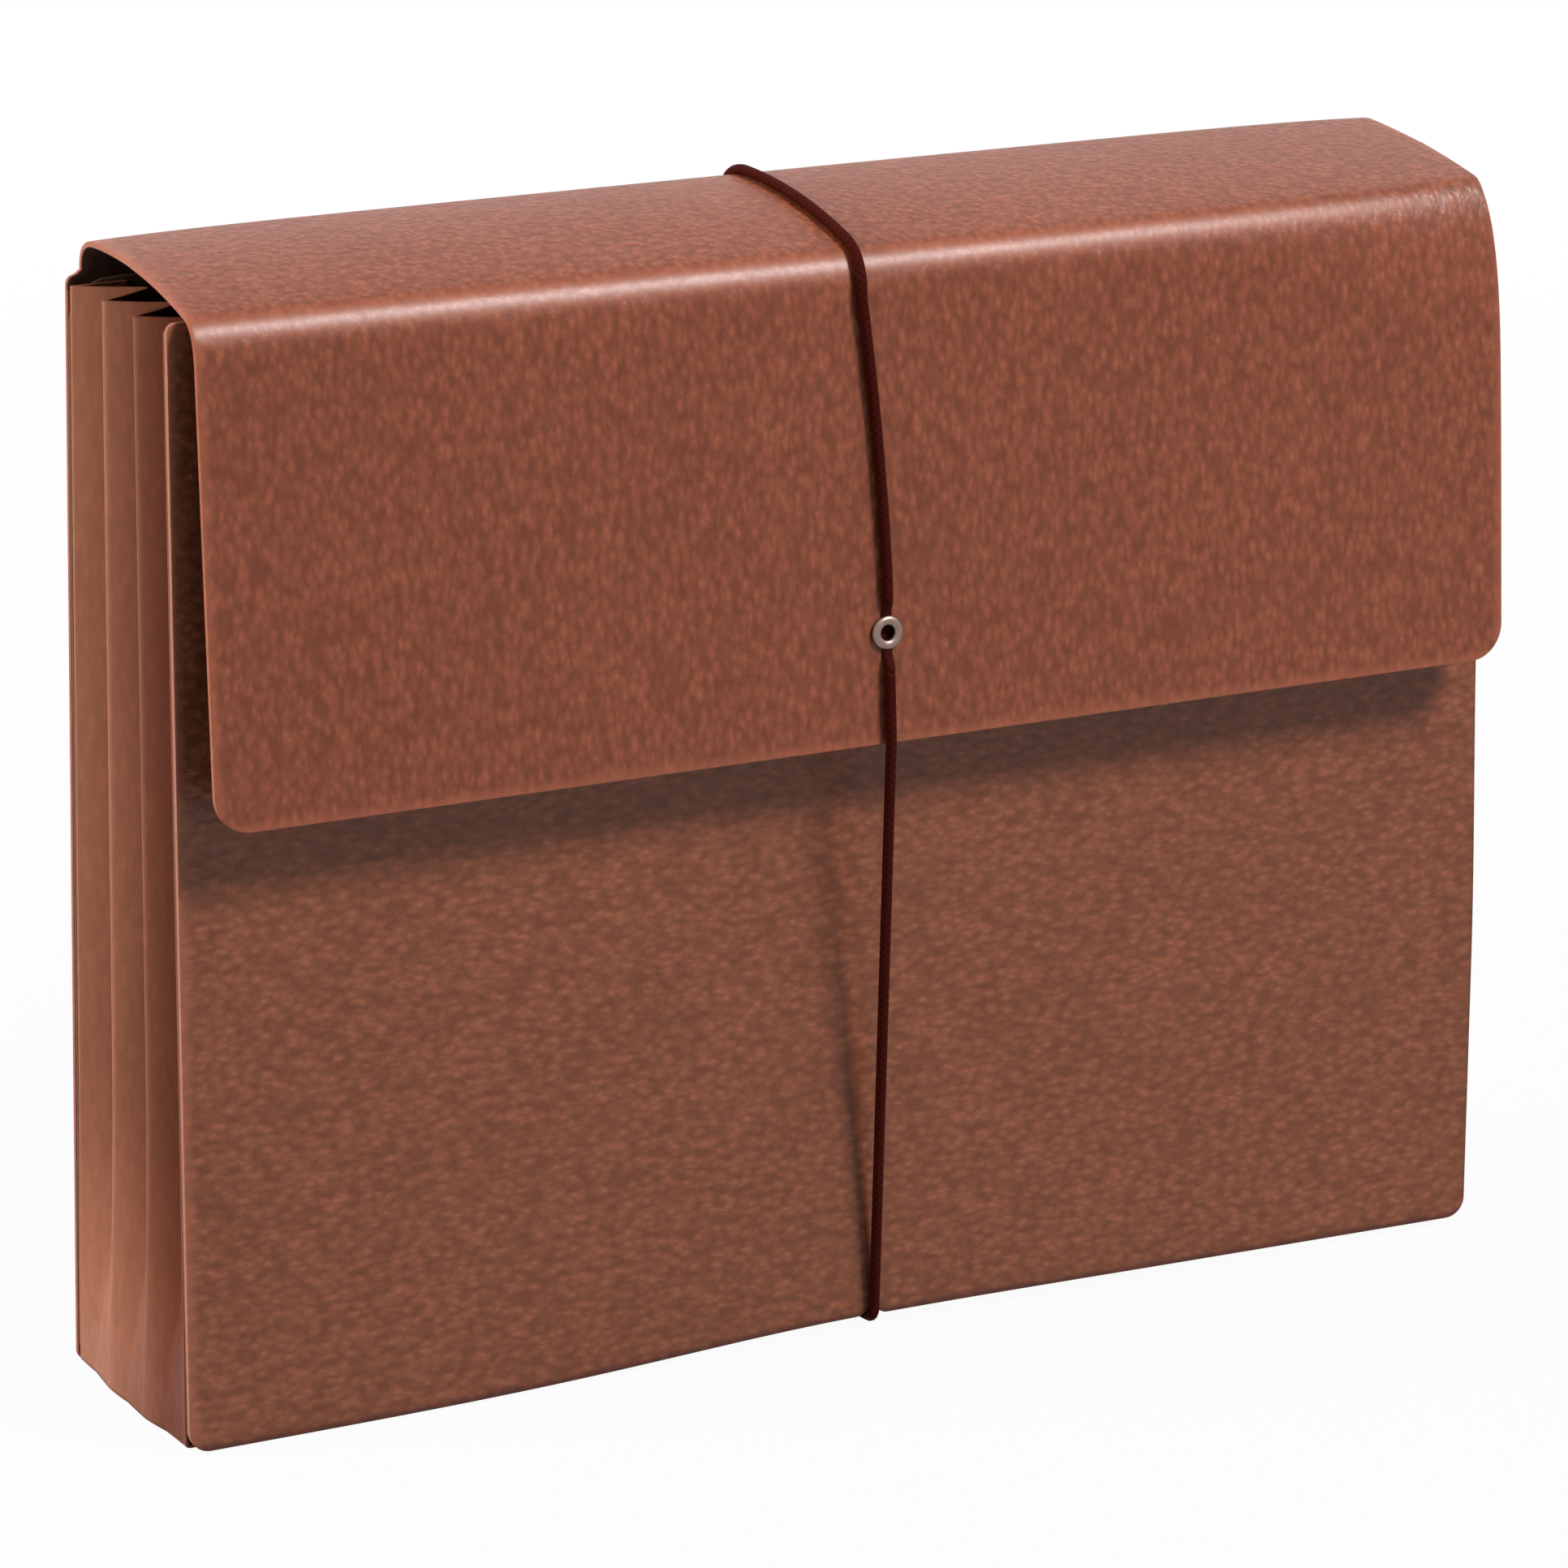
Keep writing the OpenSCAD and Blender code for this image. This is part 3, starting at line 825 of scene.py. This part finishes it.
def cord(name, route, radius=CORD_R):
    """A round cord along a route of points in the frame, with its ends closed."""
    route = even(route)
    sides = []
    out = Vector((1, 0, 0))
    for k in range(len(route)):
        ahead = (route[min(k + 1, len(route) - 1)] - route[max(k - 1, 0)]).normalized()
        out = (out - ahead * out.dot(ahead)).normalized()
        sides.append((out.copy(), ahead.cross(out)))

    def cord_place(column, row):
        turn = 2 * math.pi * column / CORD_SIDES
        return route[row] + radius * (sides[row][0] * math.cos(turn) + sides[row][1] * math.sin(turn))

    made = sheet(name, CORD_SIDES + 1, len(route), cord_place)
    length = sum((b - a).length for a, b in zip(route, route[1:]))
    for loop in made.data.uv_layers.active.data:
        loop.uv.y *= length / MM
    bpy.ops.object.mode_set(mode="EDIT")
    bpy.ops.mesh.select_all(action="SELECT")
    bpy.ops.mesh.remove_doubles(threshold=1e-6)
    bpy.ops.mesh.select_all(action="DESELECT")
    bpy.ops.mesh.select_non_manifold()
    bpy.ops.mesh.fill_holes(sides=CORD_SIDES + 2)
    bpy.ops.mesh.select_all(action="SELECT")
    bpy.ops.mesh.normals_make_consistent(inside=False)
    bpy.ops.object.mode_set(mode="OBJECT")
    bpy.ops.object.shade_smooth()
    made.data.materials.append(elastic)
    return made


def clamp(piece):
    """Presses the end of a cord flat, where it is held under the eyelet's flange."""
    for point in piece.data.vertices:
        place = Vector((BACK_Y - point.co.y, point.co.z)) - FRONT_FOLD
        free = eased((abs(place.dot(lean_down) - EYELET_S) - CLAMP_START) / CLAMP_RUN)
        n = place.dot(lean_out) - SHEET
        if n > 0 and place.dot(lean_down) > 0:
            point.co += Vector((0, lean_out.x, -lean_out.y)) * (1 - free) * CLAMP_SHARE * n


elastic, tree, yarn = material("braided elastic")
uv = node(tree, "UVMap").outputs["UV"]
strands = []
for way in ("ADD", "SUBTRACT"):
    lay = node(tree, "Mapping", [("Vector", uv)], Scale=(4, 0.62, 1)).outputs["Vector"]
    parts = node(tree, "SeparateXYZ", [("Vector", lay)]).outputs
    strands.append(reckon(tree, "PINGPONG", reckon(tree, way, parts["Y"], parts["X"]), 0.5))
weave = reckon(tree, "MAXIMUM", *strands)
place = node(tree, "TexCoord").outputs["Object"]
fuzz = node(tree, "TexNoise", [("Vector", place)], Scale=5200, Detail=3).outputs["Fac"]
# The braid's colour is darker in the grooves between its strands and lighter on their crests: painted shade.
lit = ranged(tree, reckon(tree, "MULTIPLY", weave, fuzz), 0, 0.4, 0, 1)
tree.links.new(mix(tree, lit, CORD_DARK, CORD_LIGHT), yarn.inputs["Base Color"])
bump = node(tree, "Bump", [("Height", weave)], Strength=0.6, Distance=0.0003)
tree.links.new(bump.outputs["Normal"], yarn.inputs["Normal"])
yarn.inputs["Roughness"].default_value = 0.7
yarn.inputs["Specular IOR Level"].default_value = 0.04


def sunk(place):
    """A point of the cord over the flap's top, let down as far as the top sags there."""
    return at(TOP_X, place - Vector((0, top_sag(TOP_X, place.x))))


# The rear run goes up the back and over the rear fold, to the middle of the flap's top.
rear_route = [stand(TOP_X * z / MOUTH_Z, 0, z) + Vector((0, CORD_GAP, 0))
              for z in stops(6, 6, rear_corner.y / MM - 8)]
foot_bend = [rear_route[0] + Vector((0, TURN_R * (math.cos(t) - 1), -TURN_R * math.sin(t)))
             for t in turns(math.pi / 2, 0)[:-1]]
foot_drop = Vector((0, 0, foot_bend[0].z - CORD_LOW))
foot_bend = [place - foot_drop for place in foot_bend]
top_turn = bend_turn + 2 * MM / dome_top_r
over_start = Vector((BACK_Y - rear_route[-1].y, rear_route[-1].z))
over_corner = Vector((over_start.x, rear_corner.y + CORD_GAP))
over = [sunk(place) for place in fold(over_start, over_corner, dome(top_turn, CORD_GAP), 14)]
top_rear = [sunk(dome(turn, CORD_GAP)) for turn in turns(top_turn, mid_turn)[1:]]
cord_rear = cord("cord_rear", foot_bend + rear_route + over + top_rear)
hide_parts("cord_back_run")
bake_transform(cord_rear)

# The top run goes on over the crease and down the flap to the eyelet.
end_turn = crease_turn - (CREASE_TOP + 1 * MM) / dome_top_r
top_front = [sunk(dome(turn, CORD_GAP)) for turn in turns(mid_turn, end_turn)]
crease_in = Vector((BACK_Y - top_front[-1].y, top_front[-1].z))
crease_out = on_flap(crease_s, SHEET + CORD_GAP) + (dome(crease_turn, CORD_GAP) - dome(crease_turn))
leaf_top = on_flap(crease_s + CREASE_LEAF, SHEET + CORD_GAP)
leaf_end = on_flap(EYELET_S - STRAND_END, SHEET + CORD_GAP)
over_crease = [at(TOP_X, place) for place in fold(crease_in, crease_out, leaf_top, 14)]
down_leaf = [at(TOP_X * (1 - k / 6) ** 1.7, leaf_top.lerp(leaf_end, k / 6)) for k in range(1, 7)]
cord_top = cord("cord_top", top_front + over_crease + down_leaf)
clamp(cord_top)
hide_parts("cord_top_run", "cord_flap_run")
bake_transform(cord_top)

# The knot lies behind the eyelet, and the lower strand comes out under its flange.
knot_heart = at(0, on_flap(EYELET_S, KNOT_N))
knot_route = []
for k in range(97):
    t = 2 * math.pi * k / 96
    loop = Vector((KNOT_LOOP * (math.sin(t) + 2 * math.sin(2 * t)),
                   KNOT_LOOP * (math.cos(t) - 2 * math.cos(2 * t)),
                   -KNOT_WAVE * math.sin(3 * t)))
    knot_route.append(knot_heart + eyelet_turn.to_3x3() @ loop)
knot = cord("cord_stopper", knot_route, KNOT_R)
lower_start = on_flap(EYELET_S + LOWER_START, SHEET + CORD_GAP)
strand_start = on_flap(EYELET_S + STRAND_END, SHEET + CORD_GAP)
cord_out = cord("cord_out", [at(0, strand_start), at(0, lower_start)])
clamp(cord_out)
through = cord("cord_through", [at(0, on_flap(EYELET_S, 0.5 * MM)), knot_heart], ENDS_R)
knot = joined("cord_stopper", knot, through, cord_out)
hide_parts("cord_knot")
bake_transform(knot)

# The front run hangs from the flap's lower edge to the foot of the front panel.
draw_hinge = hinges["cord_draw"]["pos_m"]
front_corner = Vector((BACK_Y - draw_hinge[1], draw_hinge[2]))
front_foot = Vector((BACK_Y - stand(FOOT_X, POCKET_DEPTH, 0).y + CORD_GAP, FRONT_FOOT_Z))
corner_start = front_corner + (lower_start - front_corner).normalized() * CORNER_BEND
corner_end = front_corner + (front_foot - front_corner).normalized() * CORNER_BEND
front_route = [lower_start] + fold(corner_start, front_corner, corner_end, 10)
cord_front = cord("cord_front_span", [at(0, place) for place in front_route] + [at(FOOT_X, front_foot)])
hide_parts("cord_lower_run", "cord_front_run")
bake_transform(cord_front)

# The bottom run goes under the pocket and turns up at the front.
turn_heart = front_foot - Vector((TURN_R, 0))
front_turn = [turn_heart + TURN_R * Vector((math.cos(t), math.sin(t))) for t in turns(-math.pi / 2, 0, 14)]
cord_under = cord("cord_under", [foot_bend[0]] + [at(FOOT_X, place) for place in front_turn])
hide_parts("cord_bottom_run")
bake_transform(cord_under)


# The stage: a plain pale floor that carries the object's shadow, soft lamps at the right, at the
# left and behind, and the camera where the picture was taken from, low and to the left.
FLOOR_GREY = (0.33, 0.33, 0.33, 1)
WHITE = (1, 1, 1, 1)
AIM = Vector((0, 0, 0.12))


def background_rays(tree):
    """1 for the rays that see the backdrop as plain white: from the camera, off or through a surface."""
    rays = node(tree, "LightPath").outputs
    seen = reckon(tree, "MAXIMUM", rays["Is Camera Ray"], rays["Is Glossy Ray"])
    return reckon(tree, "MAXIMUM", seen, rays["Is Transmission Ray"])


bpy.ops.object.select_all(action="DESELECT")
bpy.ops.mesh.primitive_plane_add(size=14, location=(0, 0, -0.2 * MM))
floor = bpy.context.object
floor.name = "floor"
pale, tree, paint = material("pale floor")
paint.inputs["Base Color"].default_value = FLOOR_GREY
paint.inputs["Roughness"].default_value = 0.9
paint.inputs["Specular IOR Level"].default_value = 0.1
place = node(tree, "TexCoord").outputs["Object"]
away = node(tree, "VectorMath", [(0, place)], operation="LENGTH").outputs["Value"]
share = reckon(tree, "MULTIPLY", background_rays(tree), ranged(tree, away, 0.3, 1.1, 0.95, 1))
glow = node(tree, "Emission").outputs["Emission"]
surface = node(tree, "MixShader", [("Fac", share), (1, paint.outputs["BSDF"]), (2, glow)])
tree.links.new(surface.outputs["Shader"], tree.nodes["Material Output"].inputs["Surface"])
floor.data.materials.append(pale)

sky = bpy.data.worlds.new("studio")
bpy.context.scene.world = sky
sky.use_nodes = True
tree = sky.node_tree
ambient = tree.nodes["Background"]
ambient.inputs["Color"].default_value = WHITE
ambient.inputs["Strength"].default_value = 0.1
white = node(tree, "Background", Color=WHITE, Strength=1.0)
surface = node(tree, "MixShader", [("Fac", background_rays(tree)), (1, ambient.outputs["Background"]),
                                   (2, white.outputs["Background"])])
tree.links.new(surface.outputs["Shader"], tree.nodes["World Output"].inputs["Surface"])

for name, place, size, power in (("key", (0.80, -1.16, 1.63), 0.5, 58),
                                 ("back", (-0.4, 1.5, 1.0), 0.9, 14),
                                 ("left", (-1.6, 0.2, 0.75), 0.8, 44)):
    bpy.ops.object.light_add(type="AREA", location=place)
    lamp = bpy.context.object
    lamp.name = name
    lamp.data.size = size
    lamp.data.energy = power
    lamp.visible_glossy = name == "key"
    lamp.rotation_euler = (AIM - Vector(place)).to_track_quat("-Z", "Y").to_euler()

AZIMUTH, ELEVATION, ROLL = (math.radians(angle) for angle in (-27.67, 16.20, 0.21))
DISTANCE = 1.446
AIM_RIGHT = -5.60 * MM
AIM_UP = -6.58 * MM
FOCAL_PIXELS = 8692
IMAGE_PIXELS = 1932
SENSOR = 36
around = Vector((math.sin(AZIMUTH), -math.cos(AZIMUTH), 0))
backwards = around * math.cos(ELEVATION) + Vector((0, 0, math.sin(ELEVATION)))
level = Vector((0, 0, 1)).cross(backwards).normalized()
upright = backwards.cross(level)
rightwards = level * math.cos(ROLL) + upright * math.sin(ROLL)
upwards = upright * math.cos(ROLL) - level * math.sin(ROLL)
spot = AIM + rightwards * AIM_RIGHT + upwards * AIM_UP + backwards * DISTANCE
bpy.ops.object.camera_add()
camera = bpy.context.object
facing = Matrix((rightwards, upwards, backwards)).transposed().to_4x4()
camera.matrix_world = Matrix.Translation(spot) @ facing
camera.data.sensor_width = SENSOR
camera.data.lens = FOCAL_PIXELS / IMAGE_PIXELS * SENSOR
bpy.context.scene.camera = camera
bpy.context.scene.view_settings.view_transform = "Standard"
